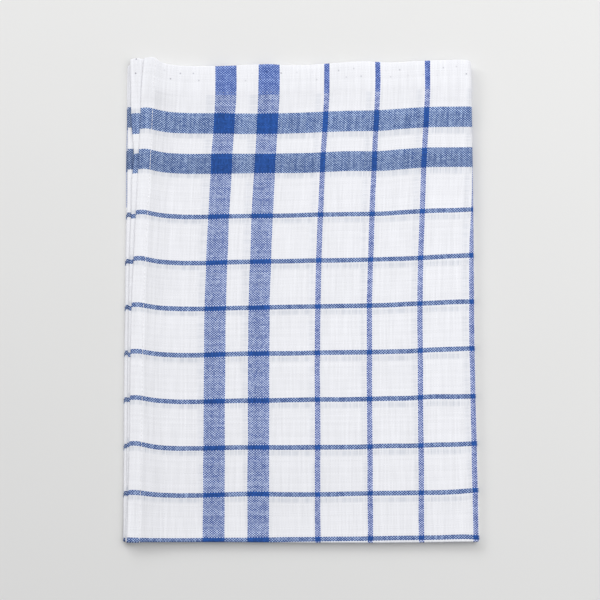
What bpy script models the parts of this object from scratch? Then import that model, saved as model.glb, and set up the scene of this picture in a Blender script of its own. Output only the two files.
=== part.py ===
"""A checked tea towel, folded in half along its length and then across its width.

The towel is one sheet of cloth, with four quarters. Its first crease lies at the front
(-Y) and joins an outer and an inner quarter into a pair. Its second crease lies at the
right (+X) and bends the pair over, so that the quarters lie on each other in four
layers, a little apart, and the lowest lies flat on the surface.

Heights are built up from the surface: each quarter lies on the ones under it, a gap and
the swell of the cloth there. Lengths are in metres, and the tables are in millimetres.
"""

import math
from collections import namedtuple

import bmesh
import bpy

MM = 0.001

# The cloth, and the hems where it is turned over.
CLOTH = 1.0 * MM
HEM_CLOTH = 1.4 * MM
END_HEM = 21 * MM
SIDE_HEM = 9 * MM
HEM_STEP = 2.5 * MM
BRIDGE = 30 * MM

# The creases: where their rounded edges lie, and how they hold the layers apart.
SIDE_CREASE_X = 125.7 * MM
FRONT_CREASE_Y = -172.6 * MM
LAYER_GAP = 0.4 * MM
SIDE_LOFT = 0.7 * MM
SIDE_LOFT_REACH = 34 * MM
FRONT_LOFT = 0.4 * MM
FRONT_LOFT_REACH = 26 * MM

# The number of spans that the sheet is cut into, along each quarter and round each bend.
SPANS_ACROSS = 13
SPANS_ALONG = 17
SIDE_BEND_SPANS = 8
FRONT_BEND_SPANS = 6

# The bends start where the rounded edge, less the layers and half the gap, leaves them.
SIDE_BEND_X = SIDE_CREASE_X - 2 * CLOTH - LAYER_GAP - (LAYER_GAP + SIDE_LOFT) / 2
FRONT_BEND_Y = FRONT_CREASE_Y + CLOTH + (LAYER_GAP + FRONT_LOFT) / 2

TOWEL = "tea_towel"
COTTON_COLOUR = (0.90, 0.90, 0.93, 1.0)
COTTON_ROUGHNESS = 0.92

# The four quarters, from the surface up.
QUARTERS = ("lower_outer", "lower_inner", "upper_inner", "upper_outer")

EdgePlace = namedtuple("EdgePlace", ("at",) + QUARTERS)
Swell = namedtuple("Swell", "x y reach_x reach_y height")
Station = namedtuple("Station", "part index angle")

# The x of each quarter's free side edge, at places from the front crease to the back.
SIDE_EDGES = (
    EdgePlace(-172, lower_outer=-125.9, lower_inner=-125.4, upper_inner=-124.4, upper_outer=-123.6),
    EdgePlace(-100, lower_outer=-126.5, lower_inner=-126.0, upper_inner=-124.0, upper_outer=-122.9),
    EdgePlace(0, lower_outer=-127.0, lower_inner=-126.2, upper_inner=-123.6, upper_outer=-122.5),
    EdgePlace(60, lower_outer=-127.3, lower_inner=-126.0, upper_inner=-122.6, upper_outer=-120.0),
    EdgePlace(120, lower_outer=-127.6, lower_inner=-126.3, upper_inner=-122.6, upper_outer=-118.2),
    EdgePlace(176, lower_outer=-127.2, lower_inner=-125.9, upper_inner=-124.2, upper_outer=-114.6),
)

# The y of each quarter's hemmed end, at places from the left to the right.
HEM_EDGES = (
    EdgePlace(-126, lower_outer=174.6, lower_inner=175.2, upper_inner=177.6, upper_outer=178.6),
    EdgePlace(-115, lower_outer=174.4, lower_inner=175.0, upper_inner=176.6, upper_outer=178.6),
    EdgePlace(-105, lower_outer=174.0, lower_inner=174.2, upper_inner=174.4, upper_outer=177.0),
    EdgePlace(-96, lower_outer=173.8, lower_inner=173.6, upper_inner=173.2, upper_outer=173.6),
    EdgePlace(-75, lower_outer=173.6, lower_inner=173.4, upper_inner=173.0, upper_outer=172.5),
    EdgePlace(-40, lower_outer=173.6, lower_inner=173.2, upper_inner=173.2, upper_outer=173.9),
    EdgePlace(0, lower_outer=173.4, lower_inner=173.2, upper_inner=173.6, upper_outer=173.8),
    EdgePlace(50, lower_outer=173.2, lower_inner=173.4, upper_inner=174.8, upper_outer=176.1),
    EdgePlace(95, lower_outer=173.0, lower_inner=173.4, upper_inner=175.2, upper_outer=177.0),
    EdgePlace(122, lower_outer=172.8, lower_inner=173.2, upper_inner=175.0, upper_outer=177.3),
)

# Soft swells, where the upper pair of quarters stands off the lower pair.
PAIR_SWELLS = (
    Swell(x=-120, y=160, reach_x=50, reach_y=70, height=1.3),
    Swell(x=-122, y=-20, reach_x=45, reach_y=120, height=0.5),
    Swell(x=30, y=60, reach_x=110, reach_y=90, height=0.5),
    Swell(x=100, y=176, reach_x=70, reach_y=45, height=0.7),
    Swell(x=-40, y=-90, reach_x=90, reach_y=70, height=0.4),
)

# Soft swells, where the top quarter stands off the one under it.
TOP_SWELLS = (
    Swell(x=-112, y=172, reach_x=45, reach_y=60, height=0.8),
    Swell(x=-108, y=40, reach_x=45, reach_y=80, height=0.4),
    Swell(x=60, y=-60, reach_x=80, reach_y=80, height=0.3),
)


def clamp(fraction):
    return min(1.0, max(0.0, fraction))


def ease(fraction):
    """0 below 0, 1 above 1, and an even curve between."""
    held = clamp(fraction)
    return held * held * (3.0 - 2.0 * held)


def mix(start, end, fraction):
    return start + (end - start) * fraction


def read_table(table, quarter, at):
    """A quarter's edge at a place, eased from row to row of its table."""
    place = at / MM
    if place <= table[0].at:
        return getattr(table[0], quarter) * MM
    for before, after in zip(table, table[1:]):
        if place <= after.at:
            fraction = ease((place - before.at) / (after.at - before.at))
            return mix(getattr(before, quarter), getattr(after, quarter), fraction) * MM
    return getattr(table[-1], quarter) * MM


def side_edge(quarter, y):
    return read_table(SIDE_EDGES, quarter, y)


def hem_edge(quarter, x):
    return read_table(HEM_EDGES, quarter, x)


def swell_height(swells, x, y):
    """The height of round-topped mounds at one place, each fading to nothing at its reach."""
    height = 0.0
    for swell in swells:
        across = (x / MM - swell.x) / swell.reach_x
        along = (y / MM - swell.y) / swell.reach_y
        height += swell.height * MM * ease(1.0 - math.hypot(across, along))
    return height


def past_hems(quarter, x, y):
    """How far a place lies inside both of a quarter's hems, or a negative length in one."""
    past_end_hem = hem_edge(quarter, x) - y - END_HEM
    past_side_hem = x - side_edge(quarter, y) - SIDE_HEM
    return min(past_end_hem, past_side_hem)


def thickness(quarter, x, y, run):
    """A quarter's thickness, which falls from the hem's to the cloth's over a run."""
    return mix(HEM_CLOTH, CLOTH, clamp(past_hems(quarter, x, y) / run))


def stack_at(x, y):
    """The underside and the top of each quarter at one place.

    The cloth above a hem bridges its step, and comes down over a longer run.
    """
    front_loft = FRONT_LOFT * ease(1.0 - (y - FRONT_BEND_Y) / FRONT_LOFT_REACH)
    side_loft = SIDE_LOFT * ease(1.0 - (SIDE_BEND_X - x) / SIDE_LOFT_REACH)
    free = ease((y - FRONT_BEND_Y) / FRONT_LOFT_REACH) * ease((SIDE_BEND_X - x) / SIDE_LOFT_REACH)
    gap_under = {
        "lower_outer": 0.0,
        "lower_inner": LAYER_GAP + front_loft,
        "upper_inner": LAYER_GAP + side_loft + swell_height(PAIR_SWELLS, x, y),
        "upper_outer": LAYER_GAP + front_loft + swell_height(TOP_SWELLS, x, y) * free,
    }
    stack = {}
    support = 0.0
    for quarter in QUARTERS:
        underside = support + gap_under[quarter]
        stack[quarter] = (underside, underside + thickness(quarter, x, y, HEM_STEP))
        support = underside + thickness(quarter, x, y, BRIDGE)
    return stack


def pair_reference(level, stack):
    """The height of a pair's inner side, which faces the other pair."""
    if level == "upper":
        return stack["upper_inner"][0]
    return stack["lower_inner"][1]


def pair_depths(level, stack):
    """The depths of the outer quarter's two sides and the inner's back, from the inner side."""
    reference = pair_reference(level, stack)
    outer_underside, outer_top = stack[level + "_outer"]
    inner_underside, inner_top = stack[level + "_inner"]
    outer_depths = sorted((abs(outer_underside - reference), abs(outer_top - reference)))
    return outer_depths[1], outer_depths[0], inner_top - inner_underside


def places_between(edge, crease, hem, spans):
    """Places from a free edge to a bend: the hem, its step, then even spans."""
    inward = math.copysign(1.0, crease - edge)
    hem_end = edge + inward * hem
    step_end = hem_end + inward * HEM_STEP
    return [edge, hem_end] + [mix(step_end, crease, index / spans) for index in range(spans + 1)]


def sheet_stations(first, last, spans, bend_spans):
    """The stations of the whole sheet in one direction: a run, its bend and the other run."""
    run = spans + 3
    stations = [Station(first, index, 0.0) for index in range(run)]
    stations += [
        Station("bend", run - 1, math.pi * index / bend_spans) for index in range(1, bend_spans)
    ]
    stations += [Station(last, index, math.pi) for index in reversed(range(run))]
    return stations


def run_x(quarter, column, row):
    """The x of a column on a run, set out from the quarter's own side edge."""
    middle_ys = places_between(hem_edge(quarter, 0.0), FRONT_BEND_Y, END_HEM, SPANS_ALONG)
    edge = side_edge(quarter, middle_ys[row.index])
    return places_between(edge, SIDE_BEND_X, SIDE_HEM, SPANS_ACROSS)[column.index]


def run_y(quarter, x, row):
    """The y of a row on a run, set out from the quarter's own hemmed end."""
    return places_between(hem_edge(quarter, x), FRONT_BEND_Y, END_HEM, SPANS_ALONG)[row.index]


def section_place(level, column, row):
    """A row's place in the section of one pair: x, then the y and depth of face and back."""
    side = "outer" if row.part == "bend" else row.part
    quarter = level + "_" + side
    x = run_x(quarter, column, row)
    if row.part != "bend":
        y = run_y(quarter, x, row)
        outer_face, outer_back, inner_back = pair_depths(level, stack_at(x, y))
        if row.part == "outer":
            return x, (y, outer_face), (y, outer_back)
        return x, (y, 0.0), (y, inner_back)
    outer_face, outer_back, inner_back = pair_depths(level, stack_at(x, FRONT_BEND_Y))
    centre = (outer_back + inner_back) / 2
    back_radius = (outer_back - inner_back) / 2
    cloth = mix(outer_face - outer_back, inner_back, row.angle / math.pi)

    def on_arc(radius):
        return FRONT_BEND_Y - radius * math.sin(row.angle), centre + radius * math.cos(row.angle)

    return x, on_arc(back_radius + cloth), on_arc(back_radius)


def run_points(level, column, row):
    """The sheet's face and back points on the upper or the lower run."""
    x, *section = section_place(level, column, row)
    upward = 1.0 if level == "upper" else -1.0
    points = []
    for y, depth in section:
        reference = pair_reference(level, stack_at(x, max(y, FRONT_BEND_Y)))
        points.append((x, y, reference + upward * depth))
    return points


def bend_points(column, row):
    """The sheet's face and back points where the whole pair turns over at the side crease."""
    _, *upper = section_place("upper", column, row)
    _, *lower = section_place("lower", column, row)
    turned = column.angle / math.pi
    points = []
    for (upper_y, upper_depth), (lower_y, lower_depth) in zip(upper, lower):
        y = mix(upper_y, lower_y, turned)
        depth = mix(upper_depth, lower_depth, turned)
        stack = stack_at(SIDE_BEND_X, max(y, FRONT_BEND_Y))
        top = pair_reference("upper", stack)
        bottom = pair_reference("lower", stack)
        radius = (top - bottom) / 2 + depth
        x = SIDE_BEND_X + radius * math.sin(column.angle)
        points.append((x, y, (top + bottom) / 2 + radius * math.cos(column.angle)))
    return points


def sheet_points(column, row):
    if column.part == "bend":
        return bend_points(column, row)
    return run_points(column.part, column, row)


def add_skin(mesh, points):
    """A grid of quads over one side of the sheet."""
    grid = [[mesh.verts.new(point) for point in line] for line in points]
    for line, next_line in zip(grid, grid[1:]):
        for corners in zip(line, line[1:], next_line[1:], next_line):
            mesh.faces.new(corners)
    return grid


def rim_of(grid):
    """The points round the edge of a grid, in order."""
    left = grid[0][:-1]
    far = [line[-1] for line in grid[:-1]]
    right = grid[-1][:0:-1]
    near = [line[0] for line in grid[:0:-1]]
    return left + far + right + near


def close_rim(mesh, face_grid, back_grid):
    """The thin wall round the sheet's four edges."""
    face_rim = rim_of(face_grid)
    back_rim = rim_of(back_grid)
    for index, corner in enumerate(face_rim):
        mesh.faces.new((corner, face_rim[index - 1], back_rim[index - 1], back_rim[index]))


def centre_on_footprint(mesh):
    """Moves the towel so that the middle of its footprint is at the origin."""
    for axis in (0, 1):
        places = [vertex.co[axis] for vertex in mesh.verts]
        middle = (min(places) + max(places)) / 2
        for vertex in mesh.verts:
            vertex.co[axis] -= middle


def make_cotton():
    material = bpy.data.materials.new("checked_cotton")
    material.use_nodes = True
    shader = material.node_tree.nodes["Principled BSDF"]
    shader.inputs["Base Color"].default_value = COTTON_COLOUR
    shader.inputs["Roughness"].default_value = COTTON_ROUGHNESS
    shader.inputs["Metallic"].default_value = 0.0
    return material


def make_towel():
    columns = sheet_stations("upper", "lower", SPANS_ACROSS, SIDE_BEND_SPANS)
    rows = sheet_stations("outer", "inner", SPANS_ALONG, FRONT_BEND_SPANS)
    points = [[sheet_points(column, row) for row in rows] for column in columns]
    mesh = bmesh.new()
    face_grid = add_skin(mesh, [[face for face, _ in line] for line in points])
    back_grid = add_skin(mesh, [[back for _, back in line] for line in points])
    close_rim(mesh, face_grid, back_grid)
    centre_on_footprint(mesh)
    bmesh.ops.recalc_face_normals(mesh, faces=mesh.faces)
    data = bpy.data.meshes.new(TOWEL)
    mesh.to_mesh(data)
    mesh.free()
    data.shade_smooth()
    data.set_sharp_from_angle(angle=math.radians(40))
    data.materials.append(make_cotton())
    towel = bpy.data.objects.new(TOWEL, data)
    bpy.context.collection.objects.link(towel)
    return towel


def main():
    for old in list(bpy.data.objects):
        bpy.data.objects.remove(old, do_unlink=True)
    make_towel()


main()
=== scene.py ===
"""A checked cotton tea towel, folded in half twice and laid flat, as a fine sheet of cloth.

Every point of the cloth has a place on the flat towel: s across it, from the near side
hem, and t along it, from the near end hem. The towel is folded across its length at the
front crease, which leaves an outer and an inner side, and then across its width at the
side crease, which leaves an upper and a lower run. The heights of the four layers are
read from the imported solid, and the weave is drawn in the flat places.

Lengths are in metres, and the tables are in millimetres. The places x and y of the tables
have an origin of their own, and the finished cloth is shifted from it to the solid.
"""

import math
from collections import namedtuple

import bpy
import numpy as np
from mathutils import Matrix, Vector
from mathutils.bvhtree import BVHTree


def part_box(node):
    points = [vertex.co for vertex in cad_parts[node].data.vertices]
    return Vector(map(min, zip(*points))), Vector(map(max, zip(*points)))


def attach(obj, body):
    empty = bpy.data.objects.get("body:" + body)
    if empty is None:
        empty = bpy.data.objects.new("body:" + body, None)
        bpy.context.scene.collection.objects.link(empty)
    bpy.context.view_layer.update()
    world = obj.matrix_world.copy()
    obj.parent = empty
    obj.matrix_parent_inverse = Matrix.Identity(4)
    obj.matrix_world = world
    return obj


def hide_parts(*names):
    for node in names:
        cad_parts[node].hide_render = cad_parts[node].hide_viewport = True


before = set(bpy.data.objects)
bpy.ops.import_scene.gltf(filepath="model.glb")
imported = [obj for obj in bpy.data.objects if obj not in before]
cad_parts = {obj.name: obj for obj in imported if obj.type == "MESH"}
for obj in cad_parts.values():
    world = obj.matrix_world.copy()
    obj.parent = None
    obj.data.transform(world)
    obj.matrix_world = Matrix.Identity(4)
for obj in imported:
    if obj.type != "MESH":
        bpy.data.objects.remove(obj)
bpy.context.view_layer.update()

MM = 0.001

TOWEL_NODE = "tea_towel"
COTTON_SLOT = "checked_cotton"
CAD_LOW, CAD_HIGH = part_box(TOWEL_NODE)

# The flat towel.
SHEET_WIDTH = 500 * MM
SHEET_LENGTH = 698 * MM
SIDE_HEM = 10.2 * MM
END_HEM = 21 * MM
CLOTH = 0.55 * MM
HEM_CLOTH = 1.0 * MM
WARP_PITCH = 0.962 * MM
WEFT_PITCH = 0.835 * MM

# Where the near corner of the upper, outer quarter lies, before the cloth is eased.
NEAR_X = -124.15 * MM
NEAR_Y = 172.7 * MM

# The leftmost and the furthest place of the solid, in the places of these tables.
SOLID_LEFT = -127.6 * MM
SOLID_FAR = 178.6 * MM
SHIFT_X = CAD_LOW.x - SOLID_LEFT
SHIFT_Y = CAD_HIGH.y - SOLID_FAR

# The check: where the middle stripe and the middle line lie on the flat towel, and how far
# from them the others lie.
StripeLayout = namedtuple(
    "StripeLayout", "middle pitch last_narrow narrow_width wide_near wide_far wide_width"
)
STRIPES_ACROSS = StripeLayout(
    middle=247.1 * MM,
    pitch=37.05 * MM,
    last_narrow=111.15 * MM,
    narrow_width=4 * WARP_PITCH,
    wide_near=154.1 * MM,
    wide_far=185.7 * MM,
    wide_width=15.3 * MM,
)
STRIPES_ALONG = StripeLayout(
    middle=345.7 * MM,
    pitch=40 * WEFT_PITCH,
    last_narrow=280 * WEFT_PITCH,
    narrow_width=4 * WEFT_PITCH,
    wide_near=273.9 * MM,
    wide_far=303.95 * MM,
    wide_width=15.0 * MM,
)

# The creases: their bends, and the length of cloth that each takes up round it.
SIDE_CREASE_THICKNESS = 2.75 * MM
FRONT_CREASE_THICKNESS = 0.65 * MM
FRONT_ARC = 1.2 * MM
FRONT_INNER_RADIUS = 0.09 * MM
FRONT_PINCH_REACH = 25 * MM
FRONT_SINK = 1.15 * MM
FRONT_SINK_REACH = 60 * MM
CREASE_EASING = 33.5 * MM

# How the heights of the solid's layers are found, on a grid of places: its step, the strip
# that it leaves out, how often it is smoothed, and the rays that go down from side to side.
HEIGHT_STEP = 4 * MM
HEIGHT_MARGIN = 10 * MM
HEIGHT_SMOOTHINGS = 6
LAYER_SIDES = 8
RAY_START = 1 * MM
RAY_STEP = 0.01 * MM
DOWN = Vector((0.0, 0.0, -1.0))

# Places beyond that grid are read in its last cell, this many steps before the grid's end.
LAST_CELL = 1.001

# The runs over which a hem's step falls, on the cloth's face and on its back, and how much
# longer they are at the end hems.
FACE_RUN = 2.5 * MM
BACK_RUN = 1.2 * MM
END_RUN = 2.6

# The cloth's rounded edges, and the dents of its seams.
EDGE_ROUNDING = 1.2 * MM
EDGE_SHARE = 0.2
SEAM_DENT = 0.04 * MM
SEAM_REACH = 0.7 * MM

# The mesh's places across and along the sheet, close together in the hems and the bends,
# the reach over which its directions are taken, and its least height over the floor.
COARSE_STEP = 3.6 * MM
SIDE_FINE = (234 * MM, 262 * MM, 0.75 * MM)
FRONT_FINE = (343.4 * MM, 351.2 * MM, 0.2 * MM)
SIDE_HEM_PLACES = (0.0, 0.1, 0.35, 0.8, 1.4, 2.6, 4.2, 5.8, 7.4, 8.4, 8.9, 9.4, 10.2, 11.0, 12.0, 14.5)
END_HEM_PLACES = (0.0, 0.1, 0.35, 0.8, 1.4, 4.0, 7.0, 10.5, 14.0, 17.0, 18.7, 19.4, 20.1, 21.2, 22.6, 25.0)
FRAME_REACH = 0.05 * MM
FLOOR_GAP = 0.02 * MM

SidePlace = namedtuple("SidePlace", "y outer_slide outer_draw inner_slide inner_draw crease_draw")
LowerEdge = namedtuple("LowerEdge", "y outer inner")
CreasePlace = namedtuple("CreasePlace", "s y middle_line drop")
WeftRow = namedtuple("WeftRow", "t at_hem across")

# How far the upper run's cloth has slid to the right, and how far its side hem and the cloth
# beside the side crease are drawn to the right as well.
UPPER_SLIDES = (
    SidePlace(-172, 0.0, 0.0, -0.4, -0.8, 1.2),
    SidePlace(-140, 0.0, 0.3, -2.6, 1.4, 1.0),
    SidePlace(-100, 0.0, 0.85, -3.6, 2.8, 0.5),
    SidePlace(-37, 0.0, 0.95, -4.4, 3.4, 0.0),
    SidePlace(0, 0.3, 1.2, -4.3, 3.5, -0.3),
    SidePlace(35, 1.3, 1.3, -3.6, 3.0, -0.4),
    SidePlace(73, 2.8, 1.3, -2.6, 2.7, 0.0),
    SidePlace(84, 3.35, 1.1, -2.2, 2.3, 0.0),
    SidePlace(103, 4.3, 0.8, -1.4, 2.8, 0.0),
    SidePlace(132, 6.0, 0.1, 0.0, -0.7, 0.0),
    SidePlace(151, 7.0, -0.2, 0.8, -1.9, 0.0),
    SidePlace(178, 7.1, 1.9, 1.0, -3.0, 0.0),
)
OUTER_DRAW_REACH = 40 * MM
INNER_DRAW_REACH = 90 * MM
CREASE_DRAW_FROM = 205 * MM
CREASE_DRAW_REACH = 40 * MM

# The side hems of the lower run.
LOWER_EDGES = (
    LowerEdge(-172, outer=-127.4, inner=-126.9),
    LowerEdge(-106, outer=-127.9, inner=-127.3),
    LowerEdge(-72, outer=-128.2, inner=-127.5),
    LowerEdge(-4, outer=-128.3, inner=-127.6),
    LowerEdge(29, outer=-128.4, inner=-127.5),
    LowerEdge(73, outer=-128.2, inner=-127.3),
    LowerEdge(102, outer=-128.6, inner=-127.3),
    LowerEdge(132, outer=-128.3, inner=-127.5),
    LowerEdge(152, outer=-128.7, inner=-127.3),
    LowerEdge(176, outer=-128.3, inner=-127.0),
)

# The rounded edge of the side crease.
SIDE_CREASE = (
    (-172, 126.8), (-143, 126.9), (-125, 126.7), (-72, 125.7), (0, 125.4), (73, 125.4), (128, 125.1),
    (147, 124.6), (176, 123.8),
)

# The front crease, across the flat towel: its rounded edge, how far short of it the middle
# line lies, and how much lower the inner side's lines lie than the outer's.
FRONT_CREASE = (
    CreasePlace(0, y=-172.6, middle_line=1.7, drop=3.4),
    CreasePlace(18, y=-172.65, middle_line=1.4, drop=3.4),
    CreasePlace(40, y=-172.65, middle_line=1.15, drop=3.6),
    CreasePlace(78, y=-172.7, middle_line=1.4, drop=3.9),
    CreasePlace(118, y=-173.0, middle_line=2.1, drop=4.2),
    CreasePlace(192, y=-173.15, middle_line=3.45, drop=4.6),
    CreasePlace(222, y=-172.8, middle_line=3.55, drop=4.8),
    CreasePlace(240, y=-172.5, middle_line=3.65, drop=5.0),
    CreasePlace(262, y=-172.4, middle_line=1.4, drop=3.6),
    CreasePlace(285, y=-172.5, middle_line=1.1, drop=3.2),
    CreasePlace(330, y=-172.7, middle_line=1.0, drop=2.4),
    CreasePlace(395, y=-172.5, middle_line=1.0, drop=1.4),
    CreasePlace(420, y=-172.2, middle_line=0.8, drop=0.9),
    CreasePlace(500, y=-172.2, middle_line=-0.7, drop=-1.4),
)

# How much of the inner side's drop is left at the near side hem, by the place along the towel.
NEAR_DROPS = (
    (0, 1.05), (42, 1.1), (72, 0.9), (112, 0.8), (146, 0.66), (212, 0.6), (246, 0.4), (279, 0.25),
    (346, 0.2),
)
NEAR_DROP_REACH = 30 * MM

# How far each weft line rises towards the hem: in the side hem, and at places across.
RISE_PLACES = (-75, -43, 4, 32, 60, 77, 95, 112, 124)
WEFT_ROWS = (
    WeftRow(0.0, at_hem=6.0, across=(0.0, 0.9, 1.2, 2.7, 3.6, 3.4, 4.3, 4.8, 3.9)),
    WeftRow(41.8, at_hem=3.5, across=(-0.6, -0.9, -0.1, 1.1, 1.6, 3.1, 4.1, 4.2, 4.4)),
    WeftRow(71.8, at_hem=3.4, across=(-0.5, -0.4, 0.2, 1.5, 1.7, 3.2, 4.4, 4.4, 4.3)),
    WeftRow(111.9, at_hem=3.3, across=(0.4, 1.1, 1.7, 2.5, 2.7, 4.0, 5.1, 5.4, 6.0)),
    WeftRow(145.3, at_hem=3.4, across=(-0.1, 0.7, 1.7, 2.2, 2.8, 3.4, 4.3, 5.0, 5.5)),
    WeftRow(178.7, at_hem=2.9, across=(-0.1, 0.7, 1.8, 2.1, 2.6, 3.5, 4.4, 5.0, 5.2)),
    WeftRow(212.1, at_hem=2.6, across=(-0.1, 0.8, 1.5, 1.9, 2.3, 2.7, 3.9, 4.4, 4.7)),
    WeftRow(245.5, at_hem=2.9, across=(-0.2, 0.5, 1.3, 1.5, 2.2, 2.3, 3.5, 3.6, 3.8)),
    WeftRow(278.9, at_hem=3.4, across=(-0.1, 0.5, 0.5, 0.7, 1.6, 1.8, 2.4, 2.7, 3.4)),
    WeftRow(312.3, at_hem=2.1, across=(-0.1, 0.9, 0.5, 1.1, 1.4, 1.7, 2.1, 2.7, 3.6)),
    WeftRow(345.7, at_hem=1.2, across=(-0.2, 0.1, 0.2, 0.6, 1.0, 1.1, 1.3, 1.9, 2.2)),
)

# The edges of the two end hems, across the flat towel: the outer end's and the inner end's.
OUTER_HEM_EDGE = (
    (0, 179.1), (6, 179.3), (9.3, 178.4), (12, 176.2), (16, 174.7), (25, 173.4), (49, 172.9),
    (83, 174.1), (95, 174.5), (105, 173.7), (116, 173.7), (145, 175.6), (160, 176.6), (182, 175.7),
    (205, 176.8), (222, 177.3), (241, 176.8), (252, 173.2), (283, 173.0), (378, 173.4), (453, 173.6),
    (483, 174.0), (500, 174.6),
)
INNER_HEM_EDGE = (
    (0, 178.5), (5, 179.2), (9, 178.6), (19, 175.2), (28, 173.2), (83, 173.2), (123, 173.6), (173, 174.8),
    (230, 175.2), (241, 174.9), (252, 173.4), (378, 173.2), (474, 173.6), (500, 175.2),
)
HEM_EDGE_REACH = 32 * MM
HEM_RISE = ((0, 0.98), (4, 1.05), (7, 0.97), (10, 0.80), (15, 0.50), (20, 0.27), (28, 0.10), (36, 0.0))

# How far the wefts of the lower run rise at its side hems, by their place along the towel.
LOWER_RISES = ((0, 3.4), (42, 3.4), (72, 2.2), (112, 1.1), (146, 0.3), (213, 0.4), (279, 0.0), (346, 0.0))

# How far the side hems hang down, where they lie on thinner cloth.
SIDE_DROOP = 0.8 * MM
OUTER_DROOP = 0.4 * MM
LOWER_DROOP = 0.4 * MM
DROOP_REACH = 6 * MM

# How far round the side crease the top quarter's ridges and troughs reach, as an angle.
RELIEF_BEND = 0.6

# Soft ridges (up) and troughs (down) of the top quarter, by their place on the flat towel.
Crease = namedtuple("Crease", "from_s from_t to_s to_t width height")
CREASES = (
    Crease(15, 30, 14, 345, width=5.5, height=-0.28),
    Crease(22, -10, 20, 120, width=9.0, height=-0.35),
    Crease(40, 60, 37, 330, width=9.0, height=0.10),
    Crease(80, -10, 84, 300, width=14.0, height=0.10),
    Crease(118, 40, 112, 340, width=12.0, height=-0.08),
    Crease(20, 25, 240, 23, width=4.0, height=-0.10),
    Crease(60, 9, 235, 8, width=7.0, height=0.08),
    Crease(150, 90, 225, 160, width=16.0, height=0.12),
    Crease(140, 230, 235, 260, width=18.0, height=-0.10),
    Crease(30, 240, 110, 290, width=16.0, height=0.08),
    Crease(190, 300, 245, 330, width=14.0, height=0.10),
)

# How far a ridge wanders, as a share of its width, how long its waves are, as a share of its
# own length, how they are set off by its width, and the share over which its ends fade.
RIDGE_WANDER = 0.35
RIDGE_WAVES = 0.31
RIDGE_OFFSET = 1.7
RIDGE_ENDS = 0.3

# The hem's stitches: their seams, their length, how much their size varies, how large they
# are in each seam, and their least height over the floor. A stitch's ends dip into the cloth
# and its middle stands out of it, both in shares of the thread's radius.
SIDE_SEAM = 8.9 * MM
END_SEAM = 19.4 * MM
SEAM_MARGIN = 2.0 * MM
STITCH_PITCH = 2.9 * MM
STITCH_LENGTH = 2.6 * MM
STITCH_DIP = -1.2
STITCH_CROWN = 1.4
STITCH_STEPS = 4
STITCH_SMALLEST = (0.88, 0.9, 0.85)
STITCH_LARGEST = (1.08, 1.1, 1.15)
THREAD_RADIUS = 0.22 * MM
THREAD_SIDES = 5
SIDE_STITCH = 1.1
END_STITCH = 0.5
STITCH_LIFT = 0.34 * MM
STITCH_SEED = 7
STITCH_INPUTS = (
    ("Geometry", "Geometry"),
    ("Stitch Length", "Float"),
    ("Thread Radius", "Float"),
    ("Seed", "Int"),
    ("Material", "Material"),
)

# The rows of small pin marks in the end hems.
PIN_PITCH = 10.8 * MM
PIN_ROWS = (5.6 * MM, 10.8 * MM)
PIN_RADIUS = 1.0 * MM
PIN_SHIFT = 1.2 * MM
PIN_WANDER = 0.3
PIN_CONTRAST = 2.2
PIN_COLOUR = (0.28, 0.28, 0.33)
PIN_ASIDE_SEED = 3.0
PIN_SHIFT_SEED = 9.0
PIN_STRENGTH_SEED = 15.0

# Two darker pin marks at the corner of the inner end's hem, as s and t.
CORNER_PINS = ((3.9 * MM, 686.2 * MM), (4.6 * MM, 697.3 * MM))

# Colours, as the share of light that comes back.
WHITE_YARN = (0.905, 0.912, 0.955)
BLUE_WARP = (0.042, 0.140, 0.57)
BLUE_WEFT = (0.026, 0.142, 0.53)

# Where one yarn is blue and the other white: the white dots, tinted by the blue yarns
# beside and under them, and the blue yarns, darker with painted shade where they lie deep between the white
# ones.
WHITE_AMONG_WEFTS = (0.525, 0.655, 0.890)
WHITE_AMONG_WARPS = (0.670, 0.760, 0.985)
WHITE_IN_HEM = (0.385, 0.510, 0.900)
SHADED_BLUE_WEFT = (0.026, 0.076, 0.270)
SHADED_BLUE_WARP = (0.030, 0.080, 0.330)
NARROW_WARP_TINT = (0.92, 0.90, 0.955)
NARROW_WEFT_TINT = (0.87, 0.875, 0.92)

# The wide line next to an end hem is a little paler, and all lines are darker with painted shade in the far
# hem.
END_LINE_TONE = 1.08
END_LINE_REACH = (50 * MM, 62 * MM)
FAR_HEM_SHADE = 0.80

# How small the white yarns' dots are among blue ones: 0 for a full square, 1 for none.
DOTS_OVER_WEFTS = 0.20
DOTS_OVER_WARPS = 0.12
DOTS_IN_HEM = 0.24

# How softly a stripe's edge is drawn: hardly, since it is counted in whole yarns.
CRISP = 0.05 * MM

# How uneven the weave is: how far its yarns wander, and how they differ in size and tone.
# Across blue yarns of the other direction, white yarns differ more.
YARN_DRIFT = 0.9
CROSSING_VARIETY = 0.45
WARP_SWELL = (0.18, 0.34)
WEFT_SWELL = (0.15, 0.27)
WHITE_VARIETY = 0.08
BLUE_VARIETY = (0.30, 0.50)
# How dark the painted shade in the pits between the yarns is: elsewhere, and where two blue yarns cross.
PIT_SHADE = (0.07, 0.60)
BLUE_CELL_VARIETY = 0.24
TOP_SOFTNESS = (0.12, 0.20)

# The seeds that keep apart the chances of the yarns' tones and of their swells.
WARP_SEED = 1.0
WEFT_SEED = 2.0
WARP_SWELL_SEED = 21.0
WEFT_SWELL_SEED = 22.0

# How fast the yarns change: in steps to the metre, and across them in steps to a yarn. The
# slow swells along a yarn count for more than its own size.
DRIFT_STEPS = (60.0, 25.0)
SWELL_STEPS = 70.0
SWELL_STEPS_ACROSS = 0.61
SWELL_STAGGER = 3.7
SLOW_SWELL = 1.6
TONE_STEPS = 45.0
TONE_STEPS_ACROSS = 0.37

# One blue warp ends the check at the far side edge, where it shows for a part of its length.
EDGE_YARN = SHEET_WIDTH - 0.8 * MM
EDGE_YARN_FROM = 33 * MM
EDGE_YARN_TO = 105 * MM
EDGE_YARN_BLUE = 0.5

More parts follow.
